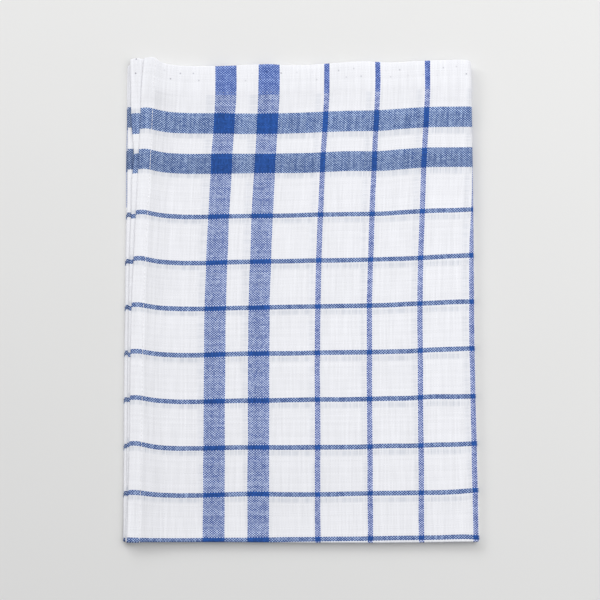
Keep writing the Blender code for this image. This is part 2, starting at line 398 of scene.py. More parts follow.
# The next layers show through: how strongly the stripes and the lines do, and how softly.
ShowThrough = namedtuple("ShowThrough", "place stripes lines")
SHOW_THROUGH = (
    ShowThrough("place_behind", stripes=0.42, lines=0.60),
    ShowThrough("place_below", stripes=0.20, lines=0.20),
)
SHOW_THROUGH_COLOUR = (0.80, 0.82, 0.85)
SHOW_THROUGH_VARIETY = (0.40, 1.60)
STRIPE_SOFTNESS = 4.0 * MM
LINE_SOFTNESS = 2.2 * MM
PAST_WARPS_SEED = 31.0
PAST_WEFTS_SEED = 32.0

# The slip between the two layers of a pair fades over this share of the towel's width
# towards its far side hem, and the pair below lies a little aside from the upper one.
SLIP_FADE = 0.4
BELOW_SHIFT = 2.0 * MM

# The cloth's tones: streaks along the warps, patches, a slow change from the ends to the
# middle, the denser hems, and painted shade beside a side hem, near the ends of one and at
# the very ends.
PLAIN_TONE = 0.918
ENDS_TONE = -0.028
MIDDLE_TONE = 0.018
ENDS_REACH = (20 * MM, 340 * MM)
STREAK_TONE = 0.14
PATCH_TONE = 0.05
SIDE_HEM_TONE = 0.02
END_HEM_TONE = 0.01
BESIDE_HEM_SHADE = -0.07
BESIDE_HEM_REACH = 20 * MM
CORNER_SHADE = -0.05
CORNER_REACH = (22 * MM, 45 * MM)
CORNER_ACROSS = ((1.5 * MM, 3.5 * MM), (12 * MM, 20 * MM))
END_EDGE_SHADE = -0.06
END_EDGE_REACH = (0.3 * MM, 1.1 * MM)

# The steps of the streaks, across and along, and of the patches, to the metre, how fine the
# patches are, and half the run over which a hem's looks begin.
STREAK_STEPS = (650.0, 35.0)
PATCH_STEPS = 30.0
PATCH_DETAIL = 3.0
HEM_STEP = 0.4 * MM

# The finishes: the constant sockets of each shader, and a bump's strength and height.
COTTON_FINISH = {"Specular IOR Level": 0.2, "Sheen Weight": 0.08, "Sheen Roughness": 0.5}
COTTON_ROUGHNESS = 0.84
COTTON_ROUGH_PATCHES = 0.1
COTTON_BUMP = (0.2, 0.08 * MM)
THREAD_FINISH = {"Roughness": 0.7, "Specular IOR Level": 0.3}
THREAD_LOW = (0.84, 0.84, 0.87)
THREAD_HIGH = (0.97, 0.97, 0.98)
THREAD_TWIST = 4000.0
THREAD_BUMP = (0.3, 0.05 * MM)

# The floor: its finish, its colours, how fine its mottle is and how far it reaches.
FLOOR_FINISH = {"Roughness": 0.9, "Specular IOR Level": 0.1}
FLOOR_LOW = (0.785, 0.785, 0.780)
FLOOR_HIGH = (0.795, 0.795, 0.790)
FLOOR_MOTTLE = 12.0
FLOOR_REACH = 3.0

# Soft panels round the towel: low ones on the far left, and high ones on the right.
Light = namedtuple("Light", "name place size power")
LIGHTS = (
    Light("left_panel", place=(-1.5, 1.2, 0.9), size=0.6, power=10.3),
    Light("corner_panel", place=(-1.0, 1.8, 0.9), size=0.6, power=9.2),
    Light("far_panel", place=(-0.5, 2.2, 1.0), size=0.7, power=6.8),
    Light("high_panel", place=(0.0, 1.8, 1.5), size=0.9, power=6.6),
    Light("right_panel", place=(1.1, 1.3, 1.7), size=1.2, power=7.3),
    Light("near_panel", place=(0.9, 0.2, 1.3), size=1.6, power=13.6),
)
WORLD_COLOUR = (1.0, 1.0, 1.0, 1.0)
WORLD_STRENGTH = 0.273

# The camera looks down from just in front of the towel, at the photograph's angle.
CAMERA_ELEVATION = math.radians(84.5)
CAMERA_DISTANCE = 1.0
CAMERA_FIELD = 433.5 * MM
CAMERA_TARGET = Vector((-1.08 * MM + SHIFT_X, 0.36 * MM + SHIFT_Y, 6.5 * MM))
SENSOR = 36.0


# ---- Curves through short tables ----------------------------------------------------------


def ease(fraction):
    """0 below 0, 1 above 1, and an even curve between."""
    held = np.clip(fraction, 0.0, 1.0)
    return held * held * (3.0 - 2.0 * held)


def mix(start, end, share):
    return start + (end - start) * share


def smooth_curve(places, values, at):
    """A smooth curve through the values at the places, level beyond its ends.

    The value at a place is one number, or one number for each of the points.
    """
    places = np.asarray(places, float)
    values = np.asarray(values, float)
    slopes = np.gradient(values, places, axis=0)
    index = np.clip(np.searchsorted(places, at) - 1, 0, len(places) - 2)
    span = places[index + 1] - places[index]
    f = np.clip((at - places[index]) / span, 0.0, 1.0)
    points = (np.arange(len(at)),) if values.ndim > 1 else ()
    before, after = (index, *points), (index + 1, *points)
    return (
        values[before] * (2 * f**3 - 3 * f**2 + 1)
        + slopes[before] * span * (f**3 - 2 * f**2 + f)
        + values[after] * (3 * f**2 - 2 * f**3)
        + slopes[after] * span * (f**3 - f**2)
    )


def read(table, column, at):
    """A column of a table whose first column is the place, in metres."""
    places = [row[0] for row in table]
    values = [getattr(row, column) for row in table]
    return smooth_curve(places, values, at / MM) * MM


def read_pairs(pairs, at):
    return smooth_curve([pair[0] for pair in pairs], [pair[1] for pair in pairs], at / MM)


# ---- The heights of the solid's layers ----------------------------------------------------


class Layers:
    """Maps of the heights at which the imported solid's four layers lie."""

    def __init__(self, node):
        self.tree = self.tree_of(node)
        self.xs = np.arange(CAD_LOW.x + HEIGHT_MARGIN, CAD_HIGH.x - HEIGHT_MARGIN / 2, HEIGHT_STEP)
        self.ys = np.arange(CAD_LOW.y + HEIGHT_MARGIN / 2, CAD_HIGH.y - HEIGHT_MARGIN, HEIGHT_STEP)
        sides = self.fill([[self.sides_at(x, y) for y in self.ys] for x in self.xs])
        self.sides = self.smooth(sides)

    @staticmethod
    def tree_of(node):
        mesh = node.data
        points = [vertex.co for vertex in mesh.vertices]
        return BVHTree.FromPolygons(points, [tuple(face.vertices) for face in mesh.polygons])

    def sides_at(self, x, y):
        """The heights of the sides of the layers under one place, from the top down."""
        heights = []
        start = CAD_HIGH.z + RAY_START
        while len(heights) <= LAYER_SIDES:
            hit = self.tree.ray_cast(Vector((x, y, start)), DOWN)[0]
            if hit is None:
                break
            heights.append(hit.z)
            start = hit.z - RAY_STEP
        return heights if len(heights) == LAYER_SIDES else [math.nan] * LAYER_SIDES

    @staticmethod
    def fill(sides):
        """Gives each place without four layers the heights of the nearest place with them."""
        sides = np.array(sides)
        known = ~np.isnan(sides[:, :, 0])
        found = np.argwhere(known)
        for place in np.argwhere(~known):
            nearest = found[np.argmin(((found - place) ** 2).sum(axis=1))]
            sides[tuple(place)] = sides[tuple(nearest)]
        return sides

    @staticmethod
    def smooth(sides):
        for _ in range(HEIGHT_SMOOTHINGS):
            for axis in (0, 1):
                before = np.take(sides, range(-1, sides.shape[axis] - 1), axis=axis, mode="clip")
                after = np.take(sides, range(1, sides.shape[axis] + 1), axis=axis, mode="clip")
                sides = (before + 2 * sides + after) / 4
        return sides

    def at(self, x, y):
        """The heights of all the layers' sides at many places on the table."""
        column = np.clip((x + SHIFT_X - self.xs[0]) / HEIGHT_STEP, 0, len(self.xs) - LAST_CELL)
        row = np.clip((y + SHIFT_Y - self.ys[0]) / HEIGHT_STEP, 0, len(self.ys) - LAST_CELL)
        i, j = column.astype(int), row.astype(int)
        f, g = (column - i)[..., None], (row - j)[..., None]
        near = mix(self.sides[i, j], self.sides[i + 1, j], f)
        far = mix(self.sides[i, j + 1], self.sides[i + 1, j + 1], f)
        return mix(near, far, g)


LAYERS = Layers(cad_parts[TOWEL_NODE])


Pairs = namedtuple("Pairs", "upper lower upper_outer upper_inner lower_inner lower_outer")


def pair_heights(x, y):
    """The levels of the two pairs' inner sides, and each layer's depth from its pair's."""
    sides = LAYERS.at(x, y)
    tops, bottoms = sides[..., 0::2], sides[..., 1::2]
    middles = (tops + bottoms) / 2
    thicknesses = tops - bottoms
    upper, lower = bottoms[..., 1], tops[..., 2]
    return Pairs(
        upper=upper,
        lower=lower,
        upper_outer=middles[..., 0] - upper,
        upper_inner=thicknesses[..., 1] / 2,
        lower_inner=thicknesses[..., 2] / 2,
        lower_outer=lower - middles[..., 3],
    )


# ---- The folded form ----------------------------------------------------------------------


def end_distance(t):
    """How far a place lies from the nearer end of the towel."""
    return np.minimum(t, SHEET_LENGTH - t)


def side_distance(s):
    return np.minimum(s, SHEET_WIDTH - s)


def hem_share(s, t, run):
    """1 in the hems and 0 in the single cloth, with a soft run between."""
    in_side = ease((SIDE_HEM - side_distance(s)) / run + 0.5)
    in_end = ease((END_HEM - end_distance(t)) / (END_RUN * run) + 0.5)
    return np.maximum(in_side, in_end)


def half_cloth(s, t, run):
    """Half of the cloth's thickness, with its hems, their rounded edges and stitched dents."""
    half = mix(CLOTH, HEM_CLOTH, hem_share(s, t, run)) / 2
    dent = SEAM_DENT * np.exp(-(((side_distance(s) - SIDE_SEAM) / SEAM_REACH) ** 2))
    dent += SEAM_DENT * np.exp(-(((end_distance(t) - END_SEAM) / SEAM_REACH) ** 2))
    edge = np.minimum(side_distance(s), end_distance(t)) / EDGE_ROUNDING
    rounding = np.sqrt(np.clip(1.0 - (1.0 - np.clip(edge, 0.0, 1.0)) ** 2, 0.0, 1.0))
    return (half - dent) * mix(EDGE_SHARE, 1.0, rounding)


def weft_rise(s, x, t):
    """How far the wefts of the outer side rise: in the near side hem, and across the towel."""
    rows = [row.t for row in WEFT_ROWS]
    at_hem = smooth_curve(rows, [row.at_hem for row in WEFT_ROWS], t / MM)
    across = [smooth_curve(RISE_PLACES, row.across, x / MM) for row in WEFT_ROWS]
    return (at_hem * read_pairs(HEM_RISE, s) + smooth_curve(rows, across, t / MM)) * MM


def ridge(crease, s, t):
    """One ridge or trough, drawn out along a straight run, from which it wanders a little."""
    width = crease.width * MM
    start = np.array((crease.from_s, crease.from_t)) * MM
    along = np.array((crease.to_s, crease.to_t)) * MM - start
    length = np.hypot(*along)
    run_s, run_t = along / length
    past = (s - start[0]) * run_s + (t - start[1]) * run_t
    aside = (s - start[0]) * run_t - (t - start[1]) * run_s
    waves = np.sin(past / (RIDGE_WAVES * length) + RIDGE_OFFSET * crease.width)
    fade = RIDGE_ENDS * length
    ends = ease(past / fade) * ease((length - past) / fade)
    across = np.exp(-(((aside - RIDGE_WANDER * width * waves) / width) ** 2))
    return crease.height * MM * across * ends


def relief(s, t):
    """The ridges and troughs of the top quarter."""
    return sum(ridge(crease, s, t) for crease in CREASES)


def front_turn(s, t):
    """The share of the front bend that a place has turned through: 0 outer, 1 inner."""
    middle_line = read(FRONT_CREASE, "middle_line", s)
    start = STRIPES_ALONG.middle + middle_line - FRONT_ARC / 2
    return np.clip((t - start) / FRONT_ARC, 0.0, 1.0), start


def outer_t(t):
    """The place along the outer side that has the same weft of the check."""
    return np.where(t <= STRIPES_ALONG.middle, t, 2 * STRIPES_ALONG.middle - t)


def upper_x(s, y, turned):
    """The x of the upper run's cloth: outer where turned is 0, and inner where it is 1."""
    outer = read(UPPER_SLIDES, "outer_slide", y)
    outer += read(UPPER_SLIDES, "outer_draw", y) * ease(1.0 - s / OUTER_DRAW_REACH)
    inner = read(UPPER_SLIDES, "inner_slide", y)
    inner += read(UPPER_SLIDES, "inner_draw", y) * ease(1.0 - s / INNER_DRAW_REACH)
    crease_draw = read(UPPER_SLIDES, "crease_draw", y) * ease((s - CREASE_DRAW_FROM) / CREASE_DRAW_REACH)
    return NEAR_X + s + mix(outer, inner, turned) + crease_draw


def upper_slide(y, turned):
    return mix(read(UPPER_SLIDES, "outer_slide", y), read(UPPER_SLIDES, "inner_slide", y), turned)


def lower_edge(y, turned):
    return mix(read(LOWER_EDGES, "outer", y), read(LOWER_EDGES, "inner", y), turned)


def inner_drop(s, t):
    """How much lower than the outer side's the inner side's wefts lie."""
    near = read_pairs(NEAR_DROPS, outer_t(t))
    return read(FRONT_CREASE, "drop", s) * mix(near, 1.0, ease(s / NEAR_DROP_REACH))


SideBend = namedtuple("SideBend", "x angle lower past")


def side_bend(s, y, turned):
    """The side bend: its x, the angle turned, whether it is passed, and how far along."""
    x = read_pairs(SIDE_CREASE, y) * MM - SIDE_CREASE_THICKNESS
    heights = pair_heights(x, y)
    depth = mix(heights.upper_outer, heights.upper_inner, turned)
    radius = (heights.upper - heights.lower) / 2 + depth
    start = x - NEAR_X - upper_slide(y, turned) - read(UPPER_SLIDES, "crease_draw", y)
    angle = np.clip((s - start) / radius, 0.0, math.pi)
    past = (s - start - math.pi * radius) / (SHEET_WIDTH - start - math.pi * radius)
    return SideBend(x, angle, angle >= math.pi, np.clip(past, 0.0, 1.0))


def place_along(s, t, x, turned, bend_start, lower_share):
    """The y of the cloth: the outer side, the front crease and the inner side."""
    crease_y = read(FRONT_CREASE, "y", s) + FRONT_CREASE_THICKNESS

    def rise(place_t):
        lower_rise = read_pairs(LOWER_RISES, outer_t(place_t)) * MM
        return mix(weft_rise(s, x, outer_t(place_t)), lower_rise, lower_share)

    def outer_y(place_t):
        return NEAR_Y - place_t + rise(place_t)

    def inner_y(place_t):
        flat = NEAR_Y - 2 * STRIPES_ALONG.middle + place_t - inner_drop(s, place_t)
        return flat + rise(place_t)

    def drawn(side_y, bend, end, hem_edge):
        """One side, drawn to the crease, and to the edge of its hem at its end."""
        to_crease = crease_y - side_y(bend)
        to_edge = read_pairs(hem_edge, s) * MM - side_y(end)
        near_crease = ease(1.0 - np.abs(t - bend) / CREASE_EASING)
        near_edge = ease(1.0 - np.abs(end - t) / HEM_EDGE_REACH)
        return side_y(t) + to_crease * near_crease + to_edge * near_edge

    outer = drawn(outer_y, bend_start, np.zeros_like(t), OUTER_HEM_EDGE)
    inner = drawn(inner_y, bend_start + FRONT_ARC, np.full_like(t, SHEET_LENGTH), INNER_HEM_EDGE)
    return np.where(turned <= 0.0, outer, np.where(turned >= 1.0, inner, crease_y))


def side_droop(s, turned, lower):
    """How far the side hems of the upper run, and the lower run's inner one, hang down."""
    upper_droop = SIDE_DROOP + OUTER_DROOP * (1.0 - turned)
    droop = np.where(lower, LOWER_DROOP * turned, upper_droop)
    return droop * ease(1.0 - side_distance(s) / DROOP_REACH)


def lay_round(side, heights, x, depth):
    """The x and z of cloth at a depth in its pair: upper run, side bend and lower run."""
    middle = (heights.upper + heights.lower) / 2
    radius = (heights.upper - heights.lower) / 2 + depth
    bending = (side.angle > 0.0) & ~side.lower
    z_flat = np.where(side.lower, heights.lower - depth, heights.upper + depth)
    z = np.where(bending, middle + radius * np.cos(side.angle), z_flat)
    return np.where(bending, side.x + radius * np.sin(side.angle), x), z


def fold(s, t):
    """The middle of the cloth, folded, for many places of the flat towel."""
    turned, bend_start = front_turn(s, t)
    plain_y = NEAR_Y - outer_t(t) - np.where(t > STRIPES_ALONG.middle, inner_drop(s, t), 0.0)
    side = side_bend(s, plain_y, turned)
    x_upper = np.minimum(upper_x(s, plain_y, turned), side.x)
    x = np.where(side.lower, mix(side.x, lower_edge(plain_y, turned), side.past), x_upper)
    y = place_along(s, t, x_upper, turned, bend_start, side.past)

    # Each side's own depth in its pair, and the turn of the front bend between them.
    heights = pair_heights(x, y)
    outer_depth = np.where(side.lower, heights.lower_outer, heights.upper_outer)
    inner_depth = np.where(side.lower, heights.lower_inner, heights.upper_inner)
    half = half_cloth(s, t, BACK_RUN)
    off_crease = np.abs(t - bend_start - FRONT_ARC / 2)
    pinch = ease(1.0 - off_crease / FRONT_PINCH_REACH)
    sink = ease(1.0 - off_crease / FRONT_SINK_REACH)
    side_gap = mix((outer_depth - inner_depth) / 2, half + FRONT_INNER_RADIUS, pinch)
    pair_depth = np.where(side.lower, inner_depth + side_gap, outer_depth - side_gap)
    turn = math.pi * turned
    y = y - side_gap * np.sin(turn)
    depth = pair_depth + side_gap * np.cos(turn)
    depth = depth + relief(s, t) * ease(1.0 - side.angle / RELIEF_BEND) * (1.0 - turned)

    # The lowest layer settles on the floor, and the front crease and the side hems sink.
    x, z = lay_round(side, heights, x, depth)
    settle = (heights.lower - outer_depth - half) * (1.0 - turned) * (1.0 - pinch)
    z = z - settle * ease(side.angle / math.pi * 2 - 1.0)
    z = z - FRONT_SINK * sink * (1.0 - ease(side.angle / math.pi))
    z = z - side_droop(s, turned, side.lower) * (1.0 - sink)
    return np.stack((x + SHIFT_X, y + SHIFT_Y, z), axis=-1)


def unit(vectors):
    return vectors / np.linalg.norm(vectors, axis=-1, keepdims=True)


def cloth_frame(s, t):
    """The middle of the cloth with its directions along s, along t and out of its face."""
    across = unit(fold(s + FRAME_REACH, t) - fold(s - FRAME_REACH, t))
    along = unit(fold(s, t + FRAME_REACH) - fold(s, t - FRAME_REACH))
    return fold(s, t), across, along, unit(np.cross(along, across))


def cloth_side(s, t, face):
    """The points of the cloth's face or of its back, and its frame there."""
    middle, across, along, out = cloth_frame(s, t)
    half = half_cloth(s, t, FACE_RUN if face else BACK_RUN)
    sign = 1.0 if face else -1.0
    return middle + sign * half[..., None] * out, across, along, sign * out


# ---- The cloth's mesh ---------------------------------------------------------------------


def stations(length, hem_places, fine):
    """Places along one direction of the sheet, close together in its hems and its bend."""
    fine_start, fine_end, fine_step = fine
    hem = [place * MM for place in hem_places]
    near = np.linspace(hem[-1], fine_start, round((fine_start - hem[-1]) / COARSE_STEP) + 1)
    bend = np.linspace(fine_start, fine_end, round((fine_end - fine_start) / fine_step) + 1)
    far_end = length - hem[-1]
    far = np.linspace(fine_end, far_end, round((far_end - fine_end) / COARSE_STEP) + 1)
    far_hem = [length - place for place in reversed(hem)]
    return np.array(hem + list(near[1:]) + list(bend[1:]) + list(far[1:]) + far_hem[1:])


def grid_faces(columns, rows, start, flipped):
    """The quads of one skin, as corners of a grid of points."""
    faces = []
    for column in range(columns - 1):
        for row in range(rows - 1):
            first = start + column * rows + row
            quad = (first, first + 1, first + rows + 1, first + rows)
            faces.append(quad[::-1] if flipped else quad)
    return faces


def rim_places(columns, rows):
    """The grid's outer points, in order round it."""
    left = [(0, row) for row in range(rows - 1)]
    far = [(column, rows - 1) for column in range(columns - 1)]
    right = [(columns - 1, row) for row in range(rows - 1, 0, -1)]
    near = [(column, 0) for column in range(columns - 1, 0, -1)]
    return [column * rows + row for column, row in left + far + right + near]


def rim_faces(columns, rows):
    """The narrow wall between the two skins."""
    rim = rim_places(columns, rows)
    back = columns * rows
    faces = []
    for index, corner in enumerate(rim):
        before = rim[index - 1]
        faces.append((before, corner, corner + back, before + back))
    return faces


def store(mesh, name, values, kind="FLOAT_VECTOR", field="vector"):
    """Stores a value at each point of the mesh."""
    attribute = mesh.attributes.new(name, kind, "POINT")
    attribute.data.foreach_set(field, np.asarray(values, np.float32).ravel())


def store_place(mesh, name, s, t):
    store(mesh, name, np.stack((s, t, np.zeros_like(s)), axis=-1))


def add_object(name, data):
    thing = bpy.data.objects.new(name, data)
    bpy.context.collection.objects.link(thing)
    return thing


def place_behind(s, t):
    """The place of the cloth that lies next behind, which shows through faintly."""
    inner = t > STRIPES_ALONG.middle
    y = NEAR_Y - outer_t(t)
    slip = upper_slide(y, 0.0) - upper_slide(y, 1.0)
    slip = slip * ease((SHEET_WIDTH - s) / (SLIP_FADE * SHEET_WIDTH))
    drop = read(FRONT_CREASE, "drop", s)
    sign = np.where(inner, -1.0, 1.0)
    return s + sign * slip, 2 * STRIPES_ALONG.middle - t + drop


def place_below(s, t):
    """The place of the cloth two layers down, round the side crease."""
    return 2 * STRIPES_ACROSS.middle - s + BELOW_SHIFT, 2 * STRIPES_ALONG.middle - t + BELOW_SHIFT


def make_cloth():
    """One closed mesh of the cloth's face, its back and the narrow wall between them."""
    across = stations(SHEET_WIDTH, SIDE_HEM_PLACES, SIDE_FINE)
    along = stations(SHEET_LENGTH, END_HEM_PLACES, FRONT_FINE)
    s, t = (grid.ravel() for grid in np.meshgrid(across, along, indexing="ij"))
    points = np.concatenate([cloth_side(s, t, face)[0] for face in (True, False)])
    points[:, 2] = np.maximum(points[:, 2], FLOOR_GAP)
    columns, rows = len(across), len(along)
    faces = grid_faces(columns, rows, 0, flipped=False)
    faces += grid_faces(columns, rows, columns * rows, flipped=True)
    faces += rim_faces(columns, rows)
    mesh = bpy.data.meshes.new("towel_cloth")
    mesh.from_pydata(points.tolist(), [], faces)
    s_all, t_all = np.tile(s, 2), np.tile(t, 2)
    store_place(mesh, "flat_place", s_all, t_all)
    store_place(mesh, "place_behind", *place_behind(s_all, t_all))
    store_place(mesh, "place_below", *place_below(s_all, t_all))
    mesh.shade_smooth()
    mesh.validate()
    mesh.materials.append(make_cotton())
    return add_object("towel_cloth", mesh)


# ---- Building shader and geometry trees ---------------------------------------------------


def feed(tree, socket, value):
    """Links a socket to another, or sets its value."""
    if isinstance(value, bpy.types.NodeSocket):
        tree.links.new(value, socket)
    else:
        socket.default_value = value


def add_node(tree, kind, inputs, **settings):
    """A new node with its settings, and its named inputs linked or set."""
    node = tree.nodes.new(kind)
    for name, value in settings.items():
        setattr(node, name, value)
    for name, value in inputs.items():
        feed(tree, node.inputs[name], value)
    return node


def calc(tree, operation, *values, clamp=False):
    node = add_node(tree, "ShaderNodeMath", {}, operation=operation, use_clamp=clamp)
    for socket, value in zip(node.inputs, values):
        feed(tree, socket, value)
    return node.outputs[0]


def plus(tree, first, second):
    return calc(tree, "ADD", first, second)


def minus(tree, first, second):
    return calc(tree, "SUBTRACT", first, second)


def times(tree, first, second):
    return calc(tree, "MULTIPLY", first, second)


def times_plus(tree, value, factor, offset):
    return calc(tree, "MULTIPLY_ADD", value, factor, offset)


def larger(tree, first, second):
    return calc(tree, "MAXIMUM", first, second)


def rest(tree, share):
    """What a share leaves of 1."""
    return minus(tree, 1.0, share)


def soft_step(tree, value, low, high, to_low=0.0, to_high=1.0):
    """A soft change from one number to another as a value goes from low to high."""
    ends = {"Value": value, "From Min": low, "From Max": high, "To Min": to_low, "To Max": to_high}
    node = add_node(tree, "ShaderNodeMapRange", ends, interpolation_type="SMOOTHSTEP")
    return node.outputs["Result"]


def soft_fall(tree, value, low, high):
    """A soft change from 1 at the low value to 0 at the high one."""
    return soft_step(tree, value, low, high, 1.0, 0.0)


# A mix node has its sockets for numbers at 0, 2 and 3, and those for colours at 0, 6 and 7.


def mix_numbers(tree, share, start, end):
    node = tree.nodes.new("ShaderNodeMix")
    for socket, value in ((0, share), (2, start), (3, end)):
        feed(tree, node.inputs[socket], value)
    return node.outputs[0]


def mix_colours(tree, share, start, end, blend="MIX"):
    node = add_node(tree, "ShaderNodeMix", {}, data_type="RGBA", blend_type=blend)
    feed(tree, node.inputs[0], share)
    for socket, value in ((node.inputs[6], start), (node.inputs[7], end)):
        feed(tree, socket, (*value, 1.0) if isinstance(value, tuple) else value)
    return node.outputs[2]


def scale_vector(tree, vector, amount):
    """A colour or another vector, scaled."""
    node = tree.nodes.new("ShaderNodeVectorMath")
    node.operation = "SCALE"
    feed(tree, node.inputs[0], vector)
    feed(tree, node.inputs["Scale"], amount)
    return node.outputs[0]


def coordinates(tree, first, second):
    return add_node(tree, "ShaderNodeCombineXYZ", {"X": first, "Y": second}).outputs[0]


def noise(tree, across, along, detail=2.0):
    """Soft noise over two coordinates that are already in steps of its own scale."""
    inputs = {"Scale": 1.0, "Detail": detail, "Vector": coordinates(tree, across, along)}
    return add_node(tree, "ShaderNodeTexNoise", inputs, noise_dimensions="2D").outputs[0]


def chance(tree, first, second=0.0):
    """An even random number for each pair of whole numbers."""
    inputs = {"Vector": coordinates(tree, first, second)}
    return add_node(tree, "ShaderNodeTexWhiteNoise", inputs, noise_dimensions="2D").outputs["Value"]


def read_place(tree, name):
    attribute = add_node(tree, "ShaderNodeAttribute", {}, attribute_name=name)
    split = add_node(tree, "ShaderNodeSeparateXYZ", {"Vector": attribute.outputs["Vector"]})
    return split.outputs[0], split.outputs[1]


def object_noise(tree, scale):
    """Noise on the piece's own coordinates."""
    place = tree.nodes.new("ShaderNodeTexCoord").outputs["Object"]
    return add_node(tree, "ShaderNodeTexNoise", {"Scale": scale, "Vector": place}).outputs[0]


def add_bump(tree, shader, height, strength, distance):
    inputs = {"Strength": strength, "Distance": distance, "Height": height}
    feed(tree, shader.inputs["Normal"], add_node(tree, "ShaderNodeBump", inputs).outputs["Normal"])


def start_material(name, finish):
    """A new material with the constant sockets of its finish, its tree and its shader."""
    material = bpy.data.materials.new(name)
    material.use_nodes = True
    shader = material.node_tree.nodes["Principled BSDF"]
    for socket, value in finish.items():
        shader.inputs[socket].default_value = value
    return material, material.node_tree, shader


# ---- The cotton ---------------------------------------------------------------------------


def socket_name(field):
    return field.replace("_", " ").title()


def make_stripe_group():
    """A group that says how blue the yarns at a place are, for one direction of the check."""
    tree = bpy.data.node_groups.new("check_stripes", "ShaderNodeTree")
    for name in ("Place", "Softness", *map(socket_name, StripeLayout._fields)):
        tree.interface.new_socket(name, in_out="INPUT", socket_type="NodeSocketFloat")
    for name in ("Blue", "Narrow"):
        tree.interface.new_socket(name, in_out="OUTPUT", socket_type="NodeSocketFloat")
    given = tree.nodes.new("NodeGroupInput").outputs
    from_middle = calc(tree, "ABSOLUTE", minus(tree, given["Place"], given["Middle"]))
    number = calc(tree, "ROUND", calc(tree, "DIVIDE", from_middle, given["Pitch"]))
    nearest = times(tree, number, given["Pitch"])
    nearest = calc(tree, "MINIMUM", nearest, given["Last Narrow"])

    def stripe(centre, width):
        off_centre = calc(tree, "ABSOLUTE", minus(tree, from_middle, centre))
        inside = minus(tree, times(tree, width, 0.5), off_centre)
        half_soft = times(tree, given["Softness"], 0.5)
        return soft_step(tree, inside, times(tree, half_soft, -1.0), half_soft)

    narrow = stripe(nearest, given["Narrow Width"])
    wide_near = stripe(given["Wide Near"], given["Wide Width"])
    wide_far = stripe(given["Wide Far"], given["Wide Width"])
    blue = larger(tree, narrow, larger(tree, wide_near, wide_far))
    add_node(tree, "NodeGroupOutput", {"Blue": blue, "Narrow": narrow})
    return tree


def stripes(tree, group, place, layout, softness):
    """How blue the yarns at a place are, and whether they are those of a narrow stripe."""
    inputs = {"Place": place, "Softness": softness}
    inputs |= {socket_name(field): value for field, value in layout._asdict().items()}
    node = add_node(tree, "ShaderNodeGroup", inputs, node_tree=group)
    return node.outputs["Blue"], node.outputs["Narrow"]


Yarns = namedtuple("Yarns", "index centre aside")
Weave = namedtuple("Weave", "warps wefts side crown")


def yarns(tree, place, other, pitch):
    """The yarns of one direction: their numbers, centres and how far aside a place lies."""
    drift = noise(tree, times(tree, place, DRIFT_STEPS[0]), times(tree, other, DRIFT_STEPS[1]))
    steps = calc(tree, "DIVIDE", place, pitch)
    drifted = times_plus(tree, minus(tree, drift, 0.5), YARN_DRIFT, steps)
    index = calc(tree, "FLOOR", drifted)
    centre = times(tree, plus(tree, index, 0.5), pitch)
    aside = minus(tree, minus(tree, drifted, index), 0.5)
    return Yarns(index, centre, aside)


def plain_weave(tree, s, t):
    """One over and one under: which side of a crossing is up, and how near its crown."""
    warps = yarns(tree, s, t, WARP_PITCH)
    wefts = yarns(tree, t, s, WEFT_PITCH)
    odd = calc(tree, "FLOORED_MODULO", plus(tree, warps.index, wefts.index), 2.0)
    side = times_plus(tree, odd, -2.0, 1.0)
    across = calc(tree, "COSINE", times(tree, warps.aside, math.pi))
    along = calc(tree, "COSINE", times(tree, wefts.aside, math.pi))
    return Weave(warps, wefts, side, times(tree, across, along))


def yarn_swell(tree, index, along, seed, amount):
    """How much thicker a yarn is here: its own size, and slow swells along it."""
    own = minus(tree, chance(tree, index, seed), 0.5)
    place = times_plus(tree, along, SWELL_STEPS, times(tree, index, SWELL_STAGGER))
    slow = minus(tree, noise(tree, times(tree, index, SWELL_STEPS_ACROSS), place), 0.5)
    return times(tree, times_plus(tree, slow, SLOW_SWELL, own), amount)


def warp_share(tree, weave, s, t, only_warp, only_weft, in_hem):
    """1 where a warp is on top and 0 where a weft is, with the yarns' uneven sizes."""
    lead = times(tree, weave.side, weave.crown)
    lead = minus(tree, lead, times(tree, only_weft, DOTS_OVER_WEFTS))
    over_warps = mix_numbers(tree, in_hem, DOTS_OVER_WARPS, DOTS_IN_HEM)
    lead = plus(tree, lead, times(tree, only_warp, over_warps))
    own = minus(tree, chance(tree, weave.warps.index, weave.wefts.index), 0.5)
    lead = times_plus(tree, own, CROSSING_VARIETY, lead)
    warp_swell = mix_numbers(tree, only_weft, *WARP_SWELL)
    lead = plus(tree, lead, yarn_swell(tree, weave.warps.index, t, WARP_SWELL_SEED, warp_swell))
    weft_swell = mix_numbers(tree, only_warp, *WEFT_SWELL)
    lead = minus(tree, lead, yarn_swell(tree, weave.wefts.index, s, WEFT_SWELL_SEED, weft_swell))
    softness = mix_numbers(tree, only_warp, *TOP_SOFTNESS)
    return soft_step(tree, lead, times(tree, softness, -1.0), softness)


def varied(tree, own, slow, own_share, slow_share):
    """A tone round 1, which varies by a yarn's own chance and slowly along it."""
    return times_plus(tree, slow, slow_share, times_plus(tree, own, own_share, 1.0))


def yarn_colour(tree, index, along, blue, blue_colour, seed):
    """White or blue yarn, a little uneven from yarn to yarn and along each."""
    own = minus(tree, chance(tree, index, seed), 0.5)
    place = times(tree, along, TONE_STEPS)
    slow = minus(tree, noise(tree, times(tree, index, TONE_STEPS_ACROSS), place), 0.5)
    white_tone = varied(tree, own, slow, WHITE_VARIETY, WHITE_VARIETY)
    blue_tone = varied(tree, own, slow, *BLUE_VARIETY)
    colour = mix_colours(tree, blue, WHITE_YARN, blue_colour)
    return scale_vector(tree, colour, mix_numbers(tree, blue, white_tone, blue_tone))


HemPlace = namedtuple("HemPlace", "in_end in_side from_end from_side")


